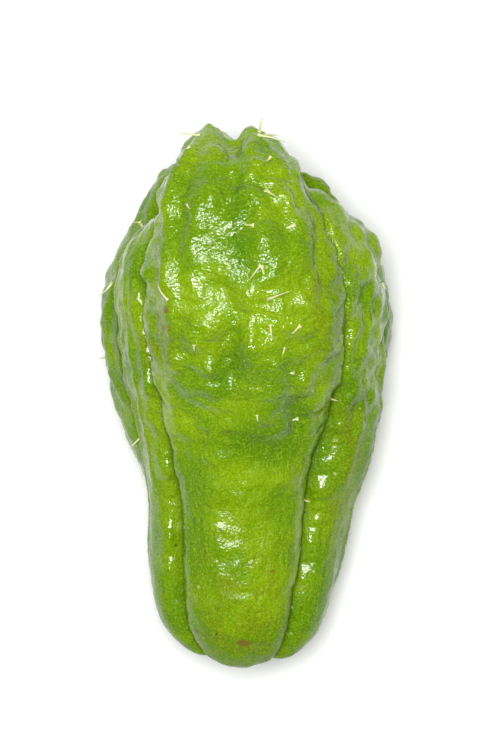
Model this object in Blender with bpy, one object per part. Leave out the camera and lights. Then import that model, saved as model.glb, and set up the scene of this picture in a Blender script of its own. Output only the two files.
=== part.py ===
"""A chayote squash lying on its side: one solid, in metres, +Z up.

The fruit's long axis runs along Y, from the stem end (low Y) to the blossom end (high Y). Five lobes run
the length of it: one on top, one on each upper side and two below, which it rests on. Its skin is drawn as
a radius about a core line that leans over at either end, so that the skin closes round it.
"""

import bmesh
import bpy
import numpy as np

# Every curve below has one value for each of these distances along the skin, in millimetres, from the
# stem pole to the blossom pole.
STATIONS = (0, 10, 22, 34, 45, 60, 72, 84, 98, 113, 127, 140, 152, 164, 177, 193)

# The core line in millimetres, and how far the skin's radius leans from square to it, in degrees.
CORE = {
    "x": (-1.5, -1.5, -1.5, -1.5, -1.5, -1.4, -1.2, -1, -0.5, 0, 0, 0, 0, 0, 0, 0),
    "y": (26, 26, 26.5, 29, 34, 46, 57, 69, 83, 96.5, 105.5, 108.5, 109, 109, 109, 109),
    "z": (0, 0, 0, 0.5, 1.5, 3.5, 5.8, 8.1, 10.9, 13, 14.5, 15, 15, 15, 15, 15),
    "lean": (-90, -67, -41, -18, -5, 0, 0, 0, 0, 1, 6, 20, 36, 52, 69, 90),
}

# Furrows in order round the fruit. angle is in degrees from straight up, towards +X; level is the radius
# of the skin's broad form there; depth and width are those of the narrow crease cut into it.
FURROWS = {
    "top_right": {
        "angle": (50, 48, 45, 44, 48, 51, 52, 56, 54, 51, 46, 41, 38, 35, 34, 42),
        "level": (18, 25, 27, 27, 27, 27, 28, 30.5, 33.5, 36, 37, 37.8, 39, 40.5, 39.5, 28),
        "depth": (0, 4, 6, 7, 6.5, 6, 5, 3.5, 2, 1.4, 1.4, 2, 3, 4, 3, 0),
        "width": (3, 3, 3, 3, 3, 3, 3, 3.5, 4.5, 6, 6, 5, 4, 3, 3, 3),
    },
    "right": {
        "angle": (100, 100, 100, 98, 96, 95, 93, 93, 94, 96, 98, 96, 92, 90, 95, 100),
        "level": (18, 21.5, 25.5, 27.5, 30, 32, 34.5, 37, 39, 39.5, 38.5, 36, 33, 33, 32, 28),
        "depth": (0, 2, 3, 3, 3, 3, 3, 3, 3, 3, 3, 3, 3, 3, 2, 0),
        "width": (3,) * 16,
    },
    "under": {
        "angle": (180,) * 16,
        "level": (18, 24, 27, 28, 28, 28, 28.5, 29.5, 31, 32, 32, 32, 32, 31, 30, 28),
        "depth": (0, 2, 3, 3, 3, 3, 3, 3, 3, 3, 3, 3, 3, 3, 2, 0),
        "width": (3,) * 16,
    },
    "left": {
        "angle": (260, 260, 262, 265, 268, 270, 272, 273, 273, 272, 270, 268, 270, 272, 266, 260),
        "level": (18, 22, 24.5, 25.5, 26.5, 27, 29, 32, 36.5, 39, 38, 36.5, 34, 33, 31, 28),
        "depth": (0, 2, 3, 3, 3, 3, 3, 3, 3, 3, 3, 4, 5, 4, 2, 0),
        "width": (3,) * 16,
    },
    "top_left": {
        "angle": (310, 308, 310, 312, 313, 312, 311, 309, 306, 303, 302, 304, 308, 308, 299, 300),
        "level": (18, 25, 27.5, 28, 28, 28, 29, 31.5, 33.5, 35.5, 36, 36.5, 38.5, 41, 42, 28),
        "depth": (0, 4, 6, 7, 7, 6.5, 5, 4, 4, 4, 4, 4, 4, 4, 3, 0),
        "width": (3,) * 16,
    },
}
# Lobes, each between two furrows: crest is the radius along its middle, and square is how flat its top is.
LOBES = {
    "top": {
        "crest": (18, 28, 29, 27.5, 26.5, 26, 27, 30.5, 36.5, 40, 41, 42, 44, 47, 48.5, 28),
        "square": (2, 2.2, 2.4, 2.4, 2.4, 2.4, 2.4, 2.4, 2.6, 2.7, 2.7, 2.8, 3, 3.4, 3.6, 2),
    },
    "upper_right": {
        "crest": (18, 26.5, 28, 27.5, 28.5, 31, 34, 36, 37.5, 38.5, 38.5, 38, 36.5, 33, 30, 28),
        "square": (2.4,) * 16,
    },
    "lower_right": {
        "crest": (18, 22.5, 25.5, 27, 28, 30.5, 34.3, 39, 42.1, 44, 43.2, 39.5, 36, 37.5, 36, 28),
        "square": (3, 3, 3, 3, 3, 3, 2.7, 2.5, 2.5, 2.5, 2.5, 3, 3, 3, 3, 3),
    },
    "lower_left": {
        "crest": (18, 22, 25, 26, 26.5, 28, 31.5, 36, 41, 43.5, 42, 39.5, 40, 42.5, 38, 28),
        "square": (3, 3, 3, 3, 3, 3, 3.5, 4, 4, 4, 4, 4, 4, 3, 3, 3),
    },
    "upper_left": {
        "crest": (18, 25, 27.5, 28, 28, 28.5, 29.5, 31, 34.5, 37, 37.5, 36.5, 33, 32, 31, 28),
        "square": (2.4,) * 16,
    },
}
# The shallow valley along the middle of the top lobe, which parts its far end into two humps.
VALLEY_DEPTH = (0, 0, 0, 0, 0, 0, 0, 0.3, 1.3, 1.8, 1.8, 1.8, 2, 3, 4.5, 0)
VALLEY_PLACE = (0.5, 0.5, 0.5, 0.5, 0.5, 0.5, 0.5, 0.48, 0.47, 0.45, 0.46, 0.47, 0.49, 0.515, 0.515, 0.5)
VALLEY_WIDTH = 0.1

MM = 0.001
COLUMNS = 75  # round the fruit, a multiple of the number of lobes
RINGS = 48
CROWDING = 0.6  # how much closer together columns stand at a furrow than in mid-lobe
PAD_DEPTH = 0.8  # how far the skin is pressed flat, in millimetres, where the fruit rests on it


def along(values, skin):
    """A smooth curve through one value at each station, read at these distances along the skin."""
    knots = np.array(STATIONS, float)
    heights = np.array(values, float)
    slopes = np.gradient(heights, knots)
    i = np.clip(np.searchsorted(knots, skin, side="right") - 1, 0, len(knots) - 2)
    gap = knots[i + 1] - knots[i]
    t = (skin - knots[i]) / gap
    return (
        heights[i] * (1 + 2 * t) * (1 - t) ** 2
        + heights[i + 1] * t * t * (3 - 2 * t)
        + slopes[i] * gap * t * (1 - t) ** 2
        - slopes[i + 1] * gap * t * t * (1 - t)
    )


def skin_radius(lobe, share, skin):
    """(angle in degrees, radius) of skin that lies a share of the way across a lobe."""
    furrows = list(FURROWS.values())
    angle = np.zeros_like(share)
    radius = np.zeros_like(share)
    # The top lobe lies between the last furrow and the first.
    for k, form in enumerate(LOBES.values()):
        here = lobe == k
        q, s = skin[here], share[here]
        before, after = furrows[k - 1], furrows[k]
        start, end = along(before["angle"], q), along(after["angle"], q)
        span = (end - start) % 360
        angle[here] = start + s * span
        low, high = along(before["level"], q), along(after["level"], q)
        arch = 1 - np.abs(2 * s - 1) ** along(form["square"], q)
        r = low + (high - low) * s + (along(form["crest"], q) - (low + high) / 2) * arch
        across = np.radians(span) * r
        for furrow, distance in ((before, s * across), (after, (1 - s) * across)):
            r = r - along(furrow["depth"], q) * np.exp(-distance / along(furrow["width"], q))
        if k == 0:
            r = r - along(VALLEY_DEPTH, q) * np.exp(-(((s - along(VALLEY_PLACE, q)) / VALLEY_WIDTH) ** 2))
        radius[here] = r
    return angle, radius


def skin_points(longitude, latitude):
    """Points of the fruit's skin, in millimetres, for places on a globe whose poles are its two ends."""
    turn = (np.asarray(longitude) % (2 * np.pi)) / (2 * np.pi) * len(LOBES)
    lobe = np.minimum(turn.astype(int), len(LOBES) - 1)
    share = turn - lobe
    share = share - CROWDING * np.sin(2 * np.pi * share) / (2 * np.pi)
    skin = (np.asarray(latitude) / np.pi + 0.5) * STATIONS[-1]
    angle, radius = skin_radius(lobe, share, skin)
    lean = np.radians(along(CORE["lean"], skin))
    out = radius * np.cos(lean)
    turned = np.radians(angle)
    x = along(CORE["x"], skin) + out * np.sin(turned)
    y = along(CORE["y"], skin) + radius * np.sin(lean)
    z = along(CORE["z"], skin) + out * np.cos(turned)
    return np.stack([x, y, z], axis=-1)


def rest_place(points):
    """What to take from points of the skin to rest the fruit on the floor, centred over the origin."""
    low, high = points.min(axis=0), points.max(axis=0)
    return np.array([(low[0] + high[0]) / 2, (low[1] + high[1]) / 2, low[2] + PAD_DEPTH])


def make_skin():
    """The fruit's skin as a closed mesh, in metres: a globe whose vertices move to the skin's points."""
    skin = bmesh.new()
    bmesh.ops.create_uvsphere(skin, u_segments=COLUMNS, v_segments=RINGS, radius=1.0)
    globe = np.array([v.co for v in skin.verts])
    # The globe's first column stands at +Y.
    longitude = np.arctan2(-globe[:, 0], globe[:, 1])
    latitude = np.arcsin(np.clip(globe[:, 2], -1, 1))
    points = skin_points(longitude, latitude)
    points -= rest_place(points)
    points[:, 2] = np.maximum(points[:, 2], 0)
    for vertex, point in zip(skin.verts, points * MM):
        vertex.co = point
    bmesh.ops.triangulate(skin, faces=skin.faces)
    bmesh.ops.recalc_face_normals(skin, faces=skin.faces)
    mesh = bpy.data.meshes.new("chayote_fruit")
    skin.to_mesh(mesh)
    skin.free()
    return mesh


def skin_material():
    material = bpy.data.materials.new("green_skin")
    material.use_nodes = True
    finish = material.node_tree.nodes["Principled BSDF"].inputs
    finish["Base Color"].default_value = (0.18, 0.35, 0.01, 1)
    finish["Roughness"].default_value = 0.38
    finish["Metallic"].default_value = 0
    return material


def build_chayote():
    for left_over in list(bpy.data.objects):
        bpy.data.objects.remove(left_over, do_unlink=True)
    mesh = make_skin()
    mesh.materials.append(skin_material())
    mesh.shade_smooth()
    fruit = bpy.data.objects.new("chayote_fruit", mesh)
    squash = bpy.data.collections.new("chayote_squash")
    bpy.context.scene.collection.children.link(squash)
    squash.objects.link(fruit)


build_chayote()
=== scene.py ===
"""The looks of a chayote squash lying on its side: its lumpy skin, prickles, floor, light and camera.

The fruit's form is drawn in millimetres in a frame of its own, with the stem end at low Y, the blossom end
at high Y, X across and Z up. Each piece is moved to the CAD model's frame, and to metres, as it is made.
"""

import math
import random

import bmesh
import bpy
import numpy as np
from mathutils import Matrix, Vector, noise
from mathutils.bvhtree import BVHTree


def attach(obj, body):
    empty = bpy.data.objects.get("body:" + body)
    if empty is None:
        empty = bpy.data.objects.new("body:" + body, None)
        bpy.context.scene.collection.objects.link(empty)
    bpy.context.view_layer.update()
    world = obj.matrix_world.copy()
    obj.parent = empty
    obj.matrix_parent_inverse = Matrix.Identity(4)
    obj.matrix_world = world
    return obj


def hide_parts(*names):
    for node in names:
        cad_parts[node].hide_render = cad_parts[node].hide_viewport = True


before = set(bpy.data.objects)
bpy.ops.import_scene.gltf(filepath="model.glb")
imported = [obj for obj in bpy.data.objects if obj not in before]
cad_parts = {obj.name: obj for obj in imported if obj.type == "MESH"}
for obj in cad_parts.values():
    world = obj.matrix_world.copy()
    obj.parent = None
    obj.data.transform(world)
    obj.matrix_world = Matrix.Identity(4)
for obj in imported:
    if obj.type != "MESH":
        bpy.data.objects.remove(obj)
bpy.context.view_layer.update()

# Every curve below has one value for each of these distances along the skin, from the stem pole to the
# blossom pole.
STATIONS = (0, 10, 22, 34, 45, 60, 72, 84, 98, 113, 127, 140, 152, 164, 177, 193)

# The core line in millimetres, and how far the skin's radius leans from square to it, in degrees.
CORE = {
    "x": (-1.5, -1.5, -1.5, -1.5, -1.5, -1.4, -1.2, -1, -0.5, 0, 0, 0, 0, 0, 0, 0),
    "y": (26, 26, 26.5, 29, 34, 46, 57, 69, 83, 96.5, 105.5, 108.5, 109, 109, 109, 109),
    "z": (0, 0, 0, 0.5, 1.5, 3.5, 5.8, 8.1, 10.9, 13, 14.5, 15, 15, 15, 15, 15),
    "lean": (-90, -67, -41, -18, -5, 0, 0, 0, 0, 1, 6, 20, 36, 52, 69, 90),
}

# Furrows in order round the fruit. angle is in degrees from straight up, towards +X; level is the radius
# of the skin's broad form there; depth and width are those of the narrow crease cut into it.
FURROWS = {
    "top_right": {
        "angle": (50, 48, 45, 44, 48, 51, 52, 56, 54, 51, 46, 41, 38, 35, 34, 42),
        "level": (18, 25, 27, 27, 27, 27, 28, 30.5, 33.5, 36, 37, 37.8, 39, 40.5, 39.5, 28),
        "depth": (0, 4, 6, 7, 6.5, 6, 5, 3.5, 2, 1.4, 1.4, 2, 3, 4, 3, 0),
        "width": (3, 3, 3, 3, 3, 3, 3, 3.5, 4.5, 6, 6, 5, 4, 3, 3, 3),
    },
    "right": {
        "angle": (100, 100, 100, 98, 96, 95, 93, 93, 94, 96, 98, 96, 92, 90, 95, 100),
        "level": (18, 21.5, 25.5, 27.5, 30, 32, 34.5, 37, 39, 39.5, 38.5, 36, 33, 33, 32, 28),
        "depth": (0, 2, 3, 3, 3, 3, 3, 3, 3, 3, 3, 3, 3, 3, 2, 0),
        "width": (3,) * 16,
    },
    "under": {
        "angle": (180,) * 16,
        "level": (18, 24, 27, 28, 28, 28, 28.5, 29.5, 31, 32, 32, 32, 32, 31, 30, 28),
        "depth": (0, 2, 3, 3, 3, 3, 3, 3, 3, 3, 3, 3, 3, 3, 2, 0),
        "width": (3,) * 16,
    },
    "left": {
        "angle": (260, 260, 262, 265, 268, 270, 272, 273, 273, 272, 270, 268, 270, 272, 266, 260),
        "level": (18, 22, 24.5, 25.5, 26.5, 27, 29, 32, 36.5, 39, 38, 36.5, 34, 33, 31, 28),
        "depth": (0, 2, 3, 3, 3, 3, 3, 3, 3, 3, 3, 4, 5, 4, 2, 0),
        "width": (3,) * 16,
    },
    "top_left": {
        "angle": (310, 308, 310, 312, 313, 312, 311, 309, 306, 303, 302, 304, 308, 308, 299, 300),
        "level": (18, 25, 27.5, 28, 28, 28, 29, 31.5, 33.5, 35.5, 36, 36.5, 38.5, 41, 42, 28),
        "depth": (0, 4, 6, 7, 7, 6.5, 5, 4, 4, 4, 4, 4, 4, 4, 3, 0),
        "width": (3,) * 16,
    },
}
# Lobes, each between two furrows: crest is the radius along its middle, and square is how flat its top is.
LOBES = {
    "top": {
        "crest": (18, 28, 29, 27.5, 26.5, 26, 27, 30.5, 36.5, 40, 41, 42, 44, 47, 48.5, 28),
        "square": (2, 2.2, 2.4, 2.4, 2.4, 2.4, 2.4, 2.4, 2.6, 2.7, 2.7, 2.8, 3, 3.4, 3.6, 2),
    },
    "upper_right": {
        "crest": (18, 26.5, 28, 27.5, 28.5, 31, 34, 36, 37.5, 38.5, 38.5, 38, 36.5, 33, 30, 28),
        "square": (2.4,) * 16,
    },
    "lower_right": {
        "crest": (18, 22.5, 25.5, 27, 28, 30.5, 34.3, 39, 42.1, 44, 43.2, 39.5, 36, 37.5, 36, 28),
        "square": (3, 3, 3, 3, 3, 3, 2.7, 2.5, 2.5, 2.5, 2.5, 3, 3, 3, 3, 3),
    },
    "lower_left": {
        "crest": (18, 22, 25, 26, 26.5, 28, 31.5, 36, 41, 43.5, 42, 39.5, 40, 42.5, 38, 28),
        "square": (3, 3, 3, 3, 3, 3, 3.5, 4, 4, 4, 4, 4, 4, 3, 3, 3),
    },
    "upper_left": {
        "crest": (18, 25, 27.5, 28, 28, 28.5, 29.5, 31, 34.5, 37, 37.5, 36.5, 33, 32, 31, 28),
        "square": (2.4,) * 16,
    },
}
# The shallow valley along the middle of the top lobe, which parts its far end into two humps.
VALLEY_DEPTH = (0, 0, 0, 0, 0, 0, 0, 0.3, 1.3, 1.8, 1.8, 1.8, 2, 3, 4.5, 0)
VALLEY_PLACE = (0.5, 0.5, 0.5, 0.5, 0.5, 0.5, 0.5, 0.48, 0.47, 0.45, 0.46, 0.47, 0.49, 0.515, 0.515, 0.5)
VALLEY_WIDTH = 0.1

MM = 0.001
COLUMNS = 280  # round the fruit, a multiple of the number of lobes
RINGS = 310  # from end to end
CROWDING = 0.6  # how much closer together columns stand at a furrow than in mid-lobe
PAD_DEPTH = 0.8  # how far the skin is pressed flat where the fruit rests on it

# Random relief all over the skin, as (height, lengths of its waves along X, Y and Z, a shift that sets it
# apart from the others, share of it that is left on the narrow part, whether it is folded into creases).
RANDOM_RELIEF = (
    (1.5, (9, 14, 9), 0, 0.3, False),
    (1.1, (4.5, 7, 4.5), 40, 0.3, False),
    (2.2, (7, 8, 7), 80, 0.15, True),
    (0.55, (2.2, 2.6, 2.2), 120, 0.4, False),
)
FOLD_LEVEL = 0.25  # how far up folded relief is level with the plain form, as a share of its height
BROAD_FROM, BROAD_BY = 50, 85  # the values of Y where the narrow part ends and the broad part begins
# Short wrinkles that run down into the furrows, as (height, lengths of the waves, shift).
WRINKLES = (0.5, (6, 1.8, 6), 160)
WRINKLE_REACH = 5  # how far they run from a furrow
FURROW_CALM = 2.5  # how far from a furrow the relief is whole
# Ribs that run along a lobe, as (share of the way across it, height, half width, first skin, last skin).
RIBS = {
    "top": (
        (0.225, 1.6, 0.04, 85, 172),
        (0.29, -0.8, 0.02, 95, 165),
        (0.64, 1.0, 0.03, 85, 172),
        (0.79, 1.3, 0.05, 85, 165),
    ),
    "upper_right": ((0.35, 0.6, 0.05, 60, 150), (0.8, 0.8, 0.05, 30, 160)),
    "lower_right": ((0.2, 0.8, 0.04, 20, 160), (0.5, 0.5, 0.05, 20, 160), (0.8, 0.5, 0.05, 20, 160)),
    "lower_left": ((0.2, 0.5, 0.05, 20, 160), (0.5, 0.5, 0.05, 20, 160), (0.8, 0.8, 0.04, 20, 160)),
    "upper_left": ((0.2, 0.8, 0.05, 30, 160), (0.6, 0.6, 0.05, 60, 150)),
}
RIB_TAPER = 15  # how far along the skin a rib takes to rise at its first end and to sink at its last
RIB_BEND = 0.02  # how far a rib wanders, as a share of the way across its lobe
# How lumpy each lobe's skin is.
LUMPINESS = {"top": 1, "upper_right": 0.85, "lower_right": 0.7, "lower_left": 0.6, "upper_left": 0.55}
# Dents and swellings on the upper side and flanks, as (x, y, half width, half length, height).
SWELLINGS = (
    (-41, 95, 8, 22, -1.5),
    (-36, 128, 8, 7, -2.2),
    (-30, 48, 6, 16, -1),
    (9, 149, 4, 4, -1.4),
    (36, 66, 6, 14, 1.2),
    (-10, 154, 6, 5, -2.4),
    (4, 153, 6, 5, -2),
    (-4.5, 146, 2.2, 5, -1.4),
    (-4.5, 136, 2.5, 7, -1.3),
    (-4, 95, 3, 5, -1.4),
    (-5, 85, 3, 8, -2.4),
    (0.5, 87, 2.5, 7, 0.9),
    (-10, 85, 2.5, 6, 0.8),
    (-2, 77, 3, 4, -1.5),
    (14, 72, 4, 6, -2.8),
    (8, 62, 7, 5, -1.8),
    (-15, 66, 4, 8, -1.2),
    (-11, 114, 6, 8, 1.2),
    (-11, 131, 5, 6, 1.4),
    (-12, 96, 5, 6, 1.2),
    (-10, 138, 4, 3, 0.8),
    (1, 142, 4, 5, 1.2),
    (4, 120, 3, 7, 1.4),
    (3, 90, 3, 5, 1),
    (12, 114, 4, 6, 1),
    (15, 100, 4, 8, 0.9),
    (23, 96, 3, 7, 1.8),
    (17, 133, 4, 6, -1.2),
    (-9, 51, 4, 6, 0.9),
    (9, 55, 5, 5, 1.2),
    (0, 48, 4, 4, 0.8),
    (-9, 37, 3, 7, 0.8),
    (24, 116, 2.5, 6, 1.4),
    (27, 105, 2.5, 6, 1.2),
    (31, 96, 3, 4, 1.2),
    (33, 105, 3, 5, -1.2),
    (27, 88, 3, 4, 1.4),
    (29, 80, 3, 4, 1.2),
    (25, 74, 3, 4, 1),
    (31, 74, 3, 4, -1.2),
    (21, 51, 3, 3, 1.2),
    (18, 35, 3, 4, 0.9),
    (-27, 80, 2.5, 4, 1.2),
    (-21.5, 57, 2.5, 3, 1.2),
    (-22, 37, 2, 4, 1.4),
    (-22, 29, 2, 2.5, 1),
)
SWELLINGS_FROM, SWELLINGS_BY = -18, -8  # the heights between which they begin
# Brown scars and yellower olive stains on the upper side, and painted shade of deeper green in its dents
# and valleys, as (x, y, half width, half length).
SCARS = (
    (-22, 101, 1.6, 1.6),
    (-22.5, 96, 1.2, 1),
    (-14, 11, 1, 1.2),
    (-1, 8, 3, 1.6),
    (7, 28.5, 1.6, 0.6),
)
# Olive stains. The first and fourth, over the narrow end, are also painted shade where it curves down.
OLIVE_STAINS_AND_TIP_SHADE = (
    (-2, 18, 14, 22),
    (-22, 98, 4, 12),
    (20, 100, 5, 16),
    (-1, 7, 12, 5),
    (29, 65, 5, 14),
    (-27, 88, 3, 12),
    (26, 45, 4, 10),
)
# Painted shade, of deeper green, in dents and valleys.
PAINTED_DENT_SHADE = (
    (-5, 85, 4, 8),
    (14, 72, 5, 6),
    (8, 62, 7, 5),
    (-2, 120, 3, 14),
    (0, 65, 12, 5),
    (31, 76, 5, 5),
)
# Places that shine less, as (x, y, half width, half length, strength).
DULL_PLACES = (
    (0, 15, 16, 22, 0.75),
    (0, 65, 14, 14, 0.3),
    (0, 45, 9, 12, 0.45),
    (20, 112, 6, 30, 0.5),
    (30, 60, 8, 20, 0.4),
)
# Where the furrow beside the top lobe is soft and gets no painted shade, as (x, y, half width, half
# length).
SOFT_SEAM = (28, 115, 14, 28)
# The puckered slit across the blossom end, and the distances along the skin between which it deepens.
SLIT_DEPTH = 3.5
SLIT_HALF_WIDTH = 1.3
SLIT_HALF_LENGTH = 7
SLIT_FROM, SLIT_BY = 172, 188
# The corky button where the stem came away, and the ring-shaped hollow round it.
BUTTON_HEIGHT = 1.2
BUTTON_RADIUS = 4
HOLLOW_DEPTH = 1.5
HOLLOW_RADIUS = 7
HOLLOW_HALF_WIDTH = 2

# Prickles on the upper side, as (x and y of the root, heading in degrees from +X towards +Y, length).
PRICKLES = (
    (-12.9, 149.5, 171, 5),
    (3.5, 150, 75, 4),
    (5, 149.5, 10, 4),
    (3, 149, -38, 6),
    (5.4, 133.2, -140, 2.4),
    (5.4, 133.2, -45, 5.6),
    (-16.2, 129.2, -21, 2.5),
    (1.9, 123.5, 168, 5.4),
    (13, 123.7, -157, 6.4),
    (3.8, 112.7, -127, 4.3),
    (3.9, 112.5, -74, 5.2),
    (5.7, 103.4, 38, 6.3),
    (-21.4, 103.5, 148, 4),
    (6.2, 96.7, -90, 2.8),
    (14.4, 96.4, -146, 2.2),
    (10.3, 90.6, -98, 2.4),
    (-14.3, 91.3, -98, 2),
    (12.8, 83.7, 167, 3.8),
    (14.1, 71, 180, 3.7),
    (-15.9, 145.7, -104, 1.4),
    (6.3, 142.5, -104, 1.4),
    (2.8, 72.2, -79, 1.5),
    (-30.4, 126.6, 146, 2.6),
    (-30.1, 126, -40, 2.4),
    (-38.5, 109.4, -83, 5),
    (38, 109.1, -37, 1.6),
)
PRICKLE_STRETCH = 1.15  # times the lengths above
PRICKLE_SIDES = 6
PRICKLE_RINGS = 7
PRICKLE_FACES = PRICKLE_SIDES * (PRICKLE_RINGS - 1) + 2
PRICKLE_ROOT_DEPTH = 0.2
# A prickle's radius: at the tip, what is added towards the root, and what more is added where it flares.
PRICKLE_TIP = 0.1
PRICKLE_TAPER = 0.32
PRICKLE_FLARE = 0.4
PRICKLE_FLARE_SHARE = 0.15  # of the length
# More prickles, on the lower flanks, cast out from a line along Y. Heights are above the floor.
STRAY_PRICKLES = 40
STRAY_LINE_HEIGHT = 32
STRAY_LINE_ENDS = (-60, 70)
STRAY_LOWEST = 9
STRAY_LENGTHS = (1.2, 4.5)
STRAY_FACING = -0.1  # the greatest Z of the direction that the skin faces there
STRAY_SPREAD = 0.6  # how far they lean at random
STRAY_UPRIGHT = 0.25  # the least share of their heading that is square to the skin

# Colours, as red, green and blue.
DARK_GREEN = (0.122, 0.255, 0.0)
LIGHT_GREEN = (0.212, 0.35, 0.0)
# Painted shade, low on the flanks and underside and in the dents.
PAINTED_SHADE_GREEN = (0.06, 0.175, 0.0)
OLIVE = (0.163, 0.222, 0.003)
PALE_GRAIN = (0.34, 0.47, 0.02)
DARK_GRAIN = (0.05, 0.145, 0.0)
SCAR_BROWN = (0.17, 0.1, 0.01)
DARK_DOT = (0.03, 0.035, 0.004)
PALE_DOT = (0.5, 0.6, 0.25)
# Painted shade in the furrows and the slit.
FURROW_SHADE_GREEN = (0.025, 0.06, 0.003)
PRICKLE_CREAM = (0.7, 0.72, 0.38)
PRICKLE_GREEN = (0.56, 0.6, 0.24)
FLOOR_WHITE = (0.92, 0.92, 0.92)

# Sizes and places in the studio, in metres, but for the camera's.
FLOOR_HALF_SIZE = 1.5
FLOOR_GAP = 0.0001  # from the fruit's underside down to the floor
SOFTBOX_SIZE = 0.44
SOFTBOX_WATTS = 18
SOFTBOX_PLACE = (-0.05, 0.06, 1.15)
SOFTBOX_AIM = (0, 0, 0.03)  # the point that it faces
# The light from all round fades from the walls' to the roof's between these two values of a direction's Z.
WALL_TOP, ROOF_START = 0.1, 0.75
WALL_LIGHT, ROOF_LIGHT = 0.2, 0.02
LENS = 133.2  # millimetres
CAMERA_PLACE = (0.85, 83.2, 800.0)  # millimetres, in the fruit's own frame


def along(values, skin):
    """A smooth curve through one value at each station, read at these distances along the skin."""
    knots = np.array(STATIONS, float)
    heights = np.array(values, float)
    slopes = np.gradient(heights, knots)
    i = np.clip(np.searchsorted(knots, skin, side="right") - 1, 0, len(knots) - 2)
    gap = knots[i + 1] - knots[i]
    t = (skin - knots[i]) / gap
    return (
        heights[i] * (1 + 2 * t) * (1 - t) ** 2
        + heights[i + 1] * t * t * (3 - 2 * t)
        + slopes[i] * gap * t * (1 - t) ** 2
        - slopes[i + 1] * gap * t * t * (1 - t)
    )


def skin_radius(lobe, share, skin):
    """(angle in degrees, radius, distance to the nearest furrow) at a share of the way across a lobe."""
    furrows = list(FURROWS.values())
    angle = np.zeros_like(share)
    radius = np.zeros_like(share)
    edge = np.zeros_like(share)
    # The top lobe lies between the last furrow and the first.
    for k, form in enumerate(LOBES.values()):
        here = lobe == k
        q, s = skin[here], share[here]
        before, after = furrows[k - 1], furrows[k]
        start, end = along(before["angle"], q), along(after["angle"], q)
        span = (end - start) % 360
        angle[here] = start + s * span
        low, high = along(before["level"], q), along(after["level"], q)
        arch = 1 - np.abs(2 * s - 1) ** along(form["square"], q)
        r = low + (high - low) * s + (along(form["crest"], q) - (low + high) / 2) * arch
        across = np.radians(span) * r
        for furrow, distance in ((before, s * across), (after, (1 - s) * across)):
            r = r - along(furrow["depth"], q) * np.exp(-distance / along(furrow["width"], q))
        if k == 0:
            from_valley = (s - along(VALLEY_PLACE, q)) / VALLEY_WIDTH
            r = r - along(VALLEY_DEPTH, q) * np.exp(-(from_valley**2))
        radius[here] = r
        edge[here] = np.minimum(s, 1 - s) * across
    return angle, radius, edge


def skin_points(longitude, latitude):
    """(points, lobe, share, skin, edge) of the fruit's skin for places on a globe.

    The globe's poles are the fruit's two ends. lobe is a number, share is how far across it a point lies,
    skin is the distance along the skin, and edge is the distance to the nearest furrow.
    """
    turn = (np.asarray(longitude) % (2 * np.pi)) / (2 * np.pi) * len(LOBES)
    lobe = np.minimum(turn.astype(int), len(LOBES) - 1)
    share = turn - lobe
    share = share - CROWDING * np.sin(2 * np.pi * share) / (2 * np.pi)
    skin = (np.asarray(latitude) / np.pi + 0.5) * STATIONS[-1]
    angle, radius, edge = skin_radius(lobe, share, skin)
    lean = np.radians(along(CORE["lean"], skin))
    out = radius * np.cos(lean)
    turned = np.radians(angle)
    x = along(CORE["x"], skin) + out * np.sin(turned)
    y = along(CORE["y"], skin) + radius * np.sin(lean)
    z = along(CORE["z"], skin) + out * np.cos(turned)
    return np.stack([x, y, z], axis=-1), lobe, share, skin, edge


def rest_place(points):
    """What to take from points of the skin to rest the fruit on the floor, centred over the origin."""
    low, high = points.min(axis=0), points.max(axis=0)
    return np.array([(low[0] + high[0]) / 2, (low[1] + high[1]) / 2, low[2] + PAD_DEPTH])


def smooth_step(low, high, value):
    """0 up to low, 1 from high on, and a smooth rise between them."""
    t = np.clip((value - low) / (high - low), 0, 1)
    return t * t * (3 - 2 * t)


def waves(points, lengths, shift):
    """Smooth random relief from -1 to 1 over points, with waves of about these lengths along X, Y and Z."""
    return np.array([noise.noise(Vector(p)) for p in (points + shift) / np.array(lengths)])


def spot(points, x, y, half_width, half_length):
    """From 0 to 1, how near these points are to the middle of a soft oval, seen from above."""
    return np.exp(-((points[:, 0] - x) / half_width) ** 2 - ((points[:, 1] - y) / half_length) ** 2)


def relief(points, lobe, share, skin, edge):
    """How far the skin stands out from its plain form at these points, in millimetres."""
    broad = smooth_step(BROAD_FROM, BROAD_BY, points[:, 1])
    out = np.zeros(len(points))
    for height, lengths, shift, narrow_share, folded in RANDOM_RELIEF:
        bumps = waves(points, lengths, shift)
        if folded:
            bumps = np.abs(bumps) - FOLD_LEVEL
        out += height * bumps * (narrow_share + (1 - narrow_share) * broad)
    out *= np.array(list(LUMPINESS.values()))[lobe]
    for k, ribs in enumerate(RIBS.values()):
        bend = RIB_BEND * np.sin(skin / 9 + 5 * k)
        for place, height, half_width, first, last in ribs:
            begun = smooth_step(first, first + RIB_TAPER, skin)
            ended = smooth_step(last - RIB_TAPER, last, skin)
            on = (lobe == k) * begun * (1 - ended)
            out += on * height * np.exp(-(((share - place - bend) / half_width) ** 2))
    height, lengths, shift = WRINKLES
    out += height * np.exp(-edge / WRINKLE_REACH) * waves(points, lengths, shift)
    upper = smooth_step(SWELLINGS_FROM, SWELLINGS_BY, points[:, 2])
    for x, y, half_width, half_length, height in SWELLINGS:
        out += upper * height * spot(points, x, y, half_width, half_length)
    out *= smooth_step(0, FURROW_CALM, edge)
    button = np.exp(-((skin / BUTTON_RADIUS) ** 4))
    hollow = np.exp(-(((skin - HOLLOW_RADIUS) / HOLLOW_HALF_WIDTH) ** 2))
    return out + BUTTON_HEIGHT * button - HOLLOW_DEPTH * hollow - SLIT_DEPTH * slit(points, skin)


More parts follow.
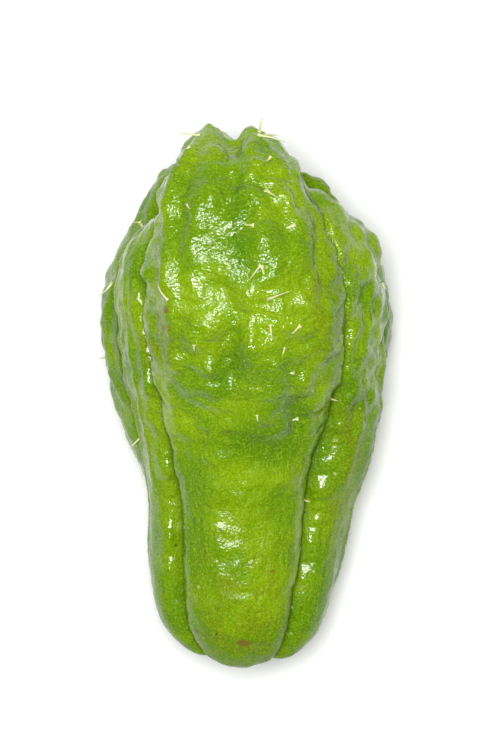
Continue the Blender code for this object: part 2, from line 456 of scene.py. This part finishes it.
def slit(points, skin):
    """From 0 to 1, how much of the blossom end's slit lies at these points."""
    line = np.exp(-(((points[:, 2] - CORE["z"][-1]) / SLIT_HALF_WIDTH) ** 2))
    ends = np.exp(-((points[:, 0] / SLIT_HALF_LENGTH) ** 4))
    return line * ends * smooth_step(SLIT_FROM, SLIT_BY, skin)


def outward_from(longitude, latitude):
    """The directions square to the skin at these places on the globe."""
    step, pole = 0.002, 1.57
    east = skin_points(longitude + step, latitude)[0] - skin_points(longitude - step, latitude)[0]
    north = skin_points(longitude, latitude + step)[0] - skin_points(longitude, latitude - step)[0]
    outward = np.cross(east, north)
    outward /= np.maximum(np.linalg.norm(outward, axis=1, keepdims=True), 1e-9)
    # At a pole there is no east, so the direction is known.
    outward[latitude < -pole] = (0, -1, 0)
    outward[latitude > pole] = (0, 1, 0)
    return outward


def make_skin():
    """(mesh, place) of the fruit's skin; place is what was taken from its own frame to rest it."""
    globe = bmesh.new()
    bmesh.ops.create_uvsphere(globe, u_segments=COLUMNS, v_segments=RINGS, radius=1.0)
    unit = np.array([v.co for v in globe.verts])
    mesh = bpy.data.meshes.new("fruit_skin")
    globe.to_mesh(mesh)
    globe.free()
    longitude = np.arctan2(-unit[:, 0], unit[:, 1])
    latitude = np.arcsin(np.clip(unit[:, 2], -1, 1))
    points, lobe, share, skin, edge = skin_points(longitude, latitude)
    place = rest_place(points)
    heights = relief(points, lobe, share, skin, edge)
    points = points + outward_from(longitude, latitude) * heights[:, None]
    points[:, 2] = np.maximum(points[:, 2], place[2])
    mesh.vertices.foreach_set("co", ((points - place) * MM).astype(np.float32).ravel())
    mesh.update()
    paint(mesh, points, skin, edge)
    mesh.shade_smooth()
    return mesh, place


def paint(mesh, points, skin, edge):
    """Stores on the skin its painted shade in the furrows, its scars and olive stains, its painted shade of
    deeper green, and how dull and crinkled it is.
    """
    furrow_shade, scarred, olive, painted_shade = range(4)
    height = points[:, 2]
    upper = smooth_step(0, 8, height)
    soft = smooth_step(20, 40, height) * spot(points, *SOFT_SEAM)
    marks_and_shade = np.zeros((len(points), 4), np.float32)
    # Painted shade in the furrows and the slit, left out where the seam is soft.
    marks_and_shade[:, furrow_shade] = np.maximum(np.exp(-edge / 0.8) * (1 - soft), slit(points, skin))
    # The stem's button has the colour of a scar. The flanks get painted shade, deeper green lower down, and
    # are duller than the top.
    marks_and_shade[:, scarred] = np.exp(-((skin / 4.5) ** 4))
    marks_and_shade[:, painted_shade] = 0.45 * (1 - smooth_step(12, 38, height))
    # Scars, olive stains, and painted shade in the dents and valleys.
    for channel, spots in ((scarred, SCARS), (olive, OLIVE_STAINS_AND_TIP_SHADE), (painted_shade, PAINTED_DENT_SHADE)):
        for oval in spots:
            marks_and_shade[:, channel] += upper * spot(points, *oval)
    # Scars and olive stains, and painted shade in the furrows, the dents and low down.
    layer = mesh.attributes.new("skin_marks", "FLOAT_COLOR", "POINT")
    layer.data.foreach_set("color", np.clip(marks_and_shade, 0, 1).ravel())
    dull = 0.4 * (1 - smooth_step(8, 24, height))
    for x, y, half_width, half_length, strength in DULL_PLACES:
        dull += strength * upper * spot(points, x, y, half_width, half_length)
    # Only the top of the broad part is fully crinkled.
    crinkled = 0.2 + 0.8 * smooth_step(55, BROAD_BY, points[:, 1]) * smooth_step(25, 40, height)
    for name, amounts in (("skin_dullness", dull), ("skin_crinkles", crinkled)):
        layer = mesh.attributes.new(name, "FLOAT", "POINT")
        layer.data.foreach_set("value", np.clip(amounts, 0, 1).astype(np.float32))


def grow_prickle(hairs, root, heading, length, rng):
    """Adds one bent, tapered prickle with a swollen base to a bmesh; root and heading are vectors in mm."""
    bend = Vector([rng.uniform(-0.5, 0.5) for _ in range(3)])
    side = heading.orthogonal().normalized()
    across = heading.cross(side).normalized()
    loops = []
    for ring in range(PRICKLE_RINGS):
        t = ring / (PRICKLE_RINGS - 1)
        centre = root + heading * length * t + bend * length * 0.5 * t * t
        flare = max(0, 1 - t / PRICKLE_FLARE_SHARE) ** 2
        radius = PRICKLE_TIP + PRICKLE_TAPER * (1 - t) + PRICKLE_FLARE * flare
        loop = []
        for k in range(PRICKLE_SIDES):
            turn = 2 * math.pi * k / PRICKLE_SIDES
            out = side * math.cos(turn) + across * math.sin(turn)
            loop.append(hairs.verts.new(centre + out * radius))
        loops.append(loop)
    for low, high in zip(loops, loops[1:]):
        for k in range(PRICKLE_SIDES):
            beside = (k + 1) % PRICKLE_SIDES
            hairs.faces.new((low[k], low[beside], high[beside], high[k]))
    hairs.faces.new(reversed(loops[0]))
    hairs.faces.new(loops[-1])


def make_prickles(skin, place):
    """The soft prickles, rooted in the skin: those told one by one, then stray ones on the lower flanks."""
    rng = random.Random(11)
    above_all = 90
    surface = BVHTree.FromPolygons([v.co for v in skin.vertices], [p.vertices[:] for p in skin.polygons])
    hairs = bmesh.new()
    for x, y, turn, length in PRICKLES:
        above = (Vector((x, y, above_all)) - Vector(place)) * MM
        hit, normal, _, _ = surface.ray_cast(above, Vector((0, 0, -1)))
        if hit is None:
            continue
        flat = Vector((math.cos(math.radians(turn)), math.sin(math.radians(turn)), 0))
        along_skin = (flat - normal * flat.dot(normal)).normalized()
        # It lies close to the skin, but stands off it a little.
        heading = (along_skin + normal * 0.25).normalized()
        root = hit / MM - normal * PRICKLE_ROOT_DEPTH
        grow_prickle(hairs, root, heading, PRICKLE_STRETCH * length, rng)
    while len(hairs.faces) < (len(PRICKLES) + STRAY_PRICKLES) * PRICKLE_FACES:
        start = Vector((rng.gauss(0, 1), rng.uniform(*STRAY_LINE_ENDS), rng.gauss(0, 1)))
        ray = Vector((start.x, 0, start.z)).normalized()
        hit, normal, _, _ = surface.ray_cast(Vector((0, start.y, STRAY_LINE_HEIGHT)) * MM, ray)
        if hit is None or hit.z < STRAY_LOWEST * MM or normal.z > STRAY_FACING:
            continue
        loose = Vector([rng.gauss(0, STRAY_SPREAD) for _ in range(3)])
        heading = (normal + loose).normalized()
        if heading.dot(normal) < STRAY_UPRIGHT:
            continue
        root = hit / MM - normal * PRICKLE_ROOT_DEPTH
        grow_prickle(hairs, root, heading, rng.uniform(*STRAY_LENGTHS), rng)
    for vertex in hairs.verts:
        vertex.co *= MM
    mesh = bpy.data.meshes.new("prickles")
    hairs.to_mesh(mesh)
    hairs.free()
    mesh.shade_smooth()
    return mesh


class Shader:
    """A material's node tree, filled in by short calls."""

    def __init__(self, name):
        self.material = bpy.data.materials.new(name)
        self.material.use_nodes = True
        self.tree = self.material.node_tree
        self.finish = self.tree.nodes["Principled BSDF"]

    def node(self, kind, settings=(), **inputs):
        made = self.tree.nodes.new("ShaderNode" + kind)
        for key, value in dict(settings).items():
            setattr(made, key, value)
        self.set(made, **inputs)
        return made

    def set(self, node, **inputs):
        """Links or fills a node's inputs, told by name with _ for a space, or by number as i0, i1."""
        for key, value in inputs.items():
            found = [s for s in node.inputs if s.name.replace(" ", "_") == key and s.enabled]
            socket = found[0] if found else node.inputs[int(key.lstrip("i"))]
            if isinstance(value, bpy.types.NodeSocket):
                self.tree.links.new(value, socket)
            else:
                socket.default_value = value

    def attribute(self, name):
        return self.node("Attribute", {"attribute_name": name}).outputs

    def noise(self, coords, scale, detail=2.0, rough=0.5):
        made = self.node("TexNoise", Vector=coords, Scale=scale, Detail=detail, Roughness=rough)
        return made.outputs[0]

    def stretched_noise(self, coords, scale, rough=0.5):
        """Noise whose scale along X, Y and Z is told apart."""
        stretched = self.node("Mapping", Vector=coords)
        stretched.inputs["Scale"].default_value = scale
        return self.noise(stretched.outputs[0], 1, 2, rough)

    def ramp(self, factor, low, high, to_low=0.0, to_high=1.0):
        made = self.node("MapRange", {"interpolation_type": "SMOOTHSTEP"}, Value=factor)
        self.set(made, From_Min=low, From_Max=high, To_Min=to_low, To_Max=to_high)
        return made.outputs[0]

    def mix(self, factor, a, b):
        """A colour that goes from a to b as factor goes from 0 to 1."""
        made = self.node("Mix", {"data_type": "RGBA", "blend_type": "MIX"}, Factor=factor)
        sockets = [s for s in made.inputs if s.type == "RGBA"]
        for socket, value in zip(sockets, (a, b)):
            if isinstance(value, bpy.types.NodeSocket):
                self.tree.links.new(value, socket)
            else:
                socket.default_value = (*value, 1)
        return [s for s in made.outputs if s.type == "RGBA"][0]

    def math(self, operation, a, b):
        return self.node("Math", {"operation": operation}, i0=a, i1=b).outputs[0]

    def times(self, a, b):
        return self.math("MULTIPLY", a, b)

    def bump(self, height, distance, strength, before=None):
        made = self.node("Bump", Height=height, Distance=distance, Strength=strength)
        if before is not None:
            self.tree.links.new(before, made.inputs["Normal"])
        return made.outputs[0]


def skin_colour(shader, coords):
    """The skin's mottled greens, with its stains, scars and dots, and painted shade in its furrows and
    dents and low down.
    """
    # Scars and olive stains, and painted shade in the furrows, the dents and low down.
    marks_and_shade = shader.attribute("skin_marks")
    apart = shader.node("SeparateColor", Color=marks_and_shade["Color"])
    furrow, scar, olive = apart.outputs[0], apart.outputs[1], apart.outputs[2]
    painted_shade = marks_and_shade["Alpha"]

    patches = shader.ramp(shader.noise(coords, scale=60), 0.36, 0.64)
    colour = shader.mix(patches, DARK_GREEN, LIGHT_GREEN)
    # Painted shade: deeper green low down and in the dents and valleys.
    colour = shader.mix(shader.times(painted_shade, 0.75), colour, PAINTED_SHADE_GREEN)
    ragged = shader.ramp(shader.noise(coords, scale=180, detail=4, rough=0.7), 0.35, 0.65)
    colour = shader.mix(shader.times(shader.times(olive, ragged), 0.75), colour, OLIVE)
    grain = shader.noise(coords, scale=1900, rough=0.7)
    colour = shader.mix(shader.ramp(grain, 0.5, 0.68, 0, 0.5), colour, PALE_GRAIN)
    colour = shader.mix(shader.ramp(grain, 0.5, 0.32, 0, 0.5), colour, DARK_GRAIN)
    ragged_scar = shader.math("ADD", scar, shader.noise(coords, scale=900, rough=0.6))
    colour = shader.mix(shader.ramp(ragged_scar, 1.0, 1.4, 0.0, 0.85), colour, SCAR_BROWN)

    # Each cell has a dot at its middle. Its random colour says whether the dot is dark, pale or left out.
    cells = shader.node("TexVoronoi", Vector=coords, Scale=160)
    from_middle = cells.outputs["Distance"]
    chance = shader.node("SeparateColor", Color=cells.outputs["Color"]).outputs[0]
    dark_dots = shader.times(shader.ramp(from_middle, 0.08, 0.04), shader.math("GREATER_THAN", chance, 0.7))
    colour = shader.mix(shader.times(dark_dots, 0.85), colour, DARK_DOT)
    pale_dots = shader.times(shader.ramp(from_middle, 0.1, 0.04), shader.math("LESS_THAN", chance, 0.25))
    colour = shader.mix(shader.times(pale_dots, 0.6), colour, PALE_DOT)
    # Painted shade in the furrows and the slit.
    return shader.mix(shader.times(furrow, 0.85), colour, FURROW_SHADE_GREEN)


def skin_material():
    shader = Shader("green_skin")
    coords = shader.node("TexCoord").outputs["Object"]

    # The skin itself: lumps, wrinkles (across the top of the broad part, and along the rest), and pores.
    lumps = shader.noise(coords, scale=250)
    crosswise = shader.stretched_noise(coords, scale=(400, 650, 400), rough=0.6)
    lengthwise = shader.stretched_noise(coords, scale=(700, 130, 700), rough=0.6)
    crinkled = shader.attribute("skin_crinkles")["Fac"]
    broad = shader.ramp(crinkled, 0.3, 0.9)
    wrinkles = shader.node("Mix", Factor=broad, A=lengthwise, B=crosswise).outputs[0]
    pores = shader.noise(coords, scale=1300, detail=1)
    normal = shader.bump(lumps, distance=0.0014, strength=0.8)
    normal = shader.bump(wrinkles, distance=0.0007, strength=0.8, before=normal)
    normal = shader.bump(pores, distance=0.0002, strength=0.6, before=normal)

    # The waxy coat over it, whose crinkles break up the highlights.
    crinkles = shader.stretched_noise(coords, scale=(550, 850, 550), rough=0.6)
    shine = shader.bump(shader.times(lumps, crinkled), distance=0.0007, strength=0.8)
    shine = shader.bump(shader.times(crinkles, crinkled), distance=0.0006, strength=0.8, before=shine)
    shine = shader.bump(pores, distance=0.00012, strength=0.8, before=shine)
    polish = shader.math("SUBTRACT", 1.0, shader.attribute("skin_dullness")["Fac"])
    patchy = shader.ramp(shader.noise(coords, scale=120, detail=3), 0.4, 0.6, 0.75, 1.0)
    roughness = shader.ramp(shader.noise(coords, scale=250, detail=3), 0.35, 0.65, 0.4, 0.55)

    shader.set(
        shader.finish,
        Base_Color=skin_colour(shader, coords),
        Roughness=roughness,
        Normal=normal,
        Specular_IOR_Level=0.1,
        Coat_Weight=shader.times(polish, patchy),
        Coat_Roughness=0.08,
        Coat_Normal=shine,
    )
    return shader.material


def prickle_material():
    shader = Shader("pale_prickle")
    coords = shader.node("TexCoord").outputs["Object"]
    patches = shader.ramp(shader.noise(coords, scale=700), 0.35, 0.65)
    colour = shader.mix(patches, PRICKLE_CREAM, PRICKLE_GREEN)
    normal = shader.bump(shader.noise(coords, scale=2500), distance=0.0001, strength=0.6)
    shader.set(shader.finish, Base_Color=colour, Roughness=0.45, Normal=normal)
    return shader.material


def add_object(name, data, material=None):
    made = bpy.data.objects.new(name, data)
    bpy.context.scene.collection.objects.link(made)
    if material:
        data.materials.append(material)
    return made


def make_floor():
    plate = bmesh.new()
    bmesh.ops.create_grid(plate, x_segments=1, y_segments=1, size=FLOOR_HALF_SIZE)
    mesh = bpy.data.meshes.new("floor")
    plate.to_mesh(mesh)
    plate.free()
    shader = Shader("pale_floor")
    shader.set(shader.finish, Base_Color=(*FLOOR_WHITE, 1), Roughness=0.9, Specular_IOR_Level=0.2)
    floor = add_object("floor", mesh, shader.material)
    floor.location.z = -FLOOR_GAP


def make_world():
    """The light from all round: the walls of a light tent, which are bright, and its roof, which is dim."""
    world = bpy.data.worlds.new("studio")
    world.use_nodes = True
    tree = world.node_tree
    background = tree.nodes["Background"]
    background.inputs["Color"].default_value = (1, 1, 1, 1)
    direction = tree.nodes.new("ShaderNodeTexCoord")
    split = tree.nodes.new("ShaderNodeSeparateXYZ")
    fade = tree.nodes.new("ShaderNodeMapRange")
    fade.inputs["From Min"].default_value = WALL_TOP
    fade.inputs["From Max"].default_value = ROOF_START
    fade.inputs["To Min"].default_value = WALL_LIGHT
    fade.inputs["To Max"].default_value = ROOF_LIGHT
    tree.links.new(direction.outputs["Generated"], split.inputs[0])
    tree.links.new(split.outputs["Z"], fade.inputs["Value"])
    tree.links.new(fade.outputs[0], background.inputs["Strength"])
    bpy.context.scene.world = world


def make_softbox():
    lamp = bpy.data.lights.new("softbox", "AREA")
    lamp.shape = "RECTANGLE"
    lamp.size = SOFTBOX_SIZE
    lamp.size_y = SOFTBOX_SIZE
    lamp.energy = SOFTBOX_WATTS
    softbox = add_object("softbox", lamp)
    softbox.location = SOFTBOX_PLACE
    aim = Vector(SOFTBOX_AIM) - softbox.location
    softbox.rotation_euler = aim.to_track_quat("-Z", "Y").to_euler()


def make_camera(place):
    eye = bpy.data.cameras.new("camera")
    eye.lens = LENS
    camera = add_object("camera", eye)
    camera.location = Vector(CAMERA_PLACE) * MM - Vector(place) * MM
    bpy.context.scene.camera = camera


def build_scene():
    bpy.context.scene.view_settings.view_transform = "Standard"
    mesh, place = make_skin()
    fruit = add_object("fruit_skin", mesh, skin_material())
    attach(fruit, "root")
    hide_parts("chayote_fruit")
    prickles = add_object("prickles", make_prickles(mesh, place), prickle_material())
    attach(prickles, "root")
    make_floor()
    make_world()
    make_softbox()
    make_camera(place)


build_scene()
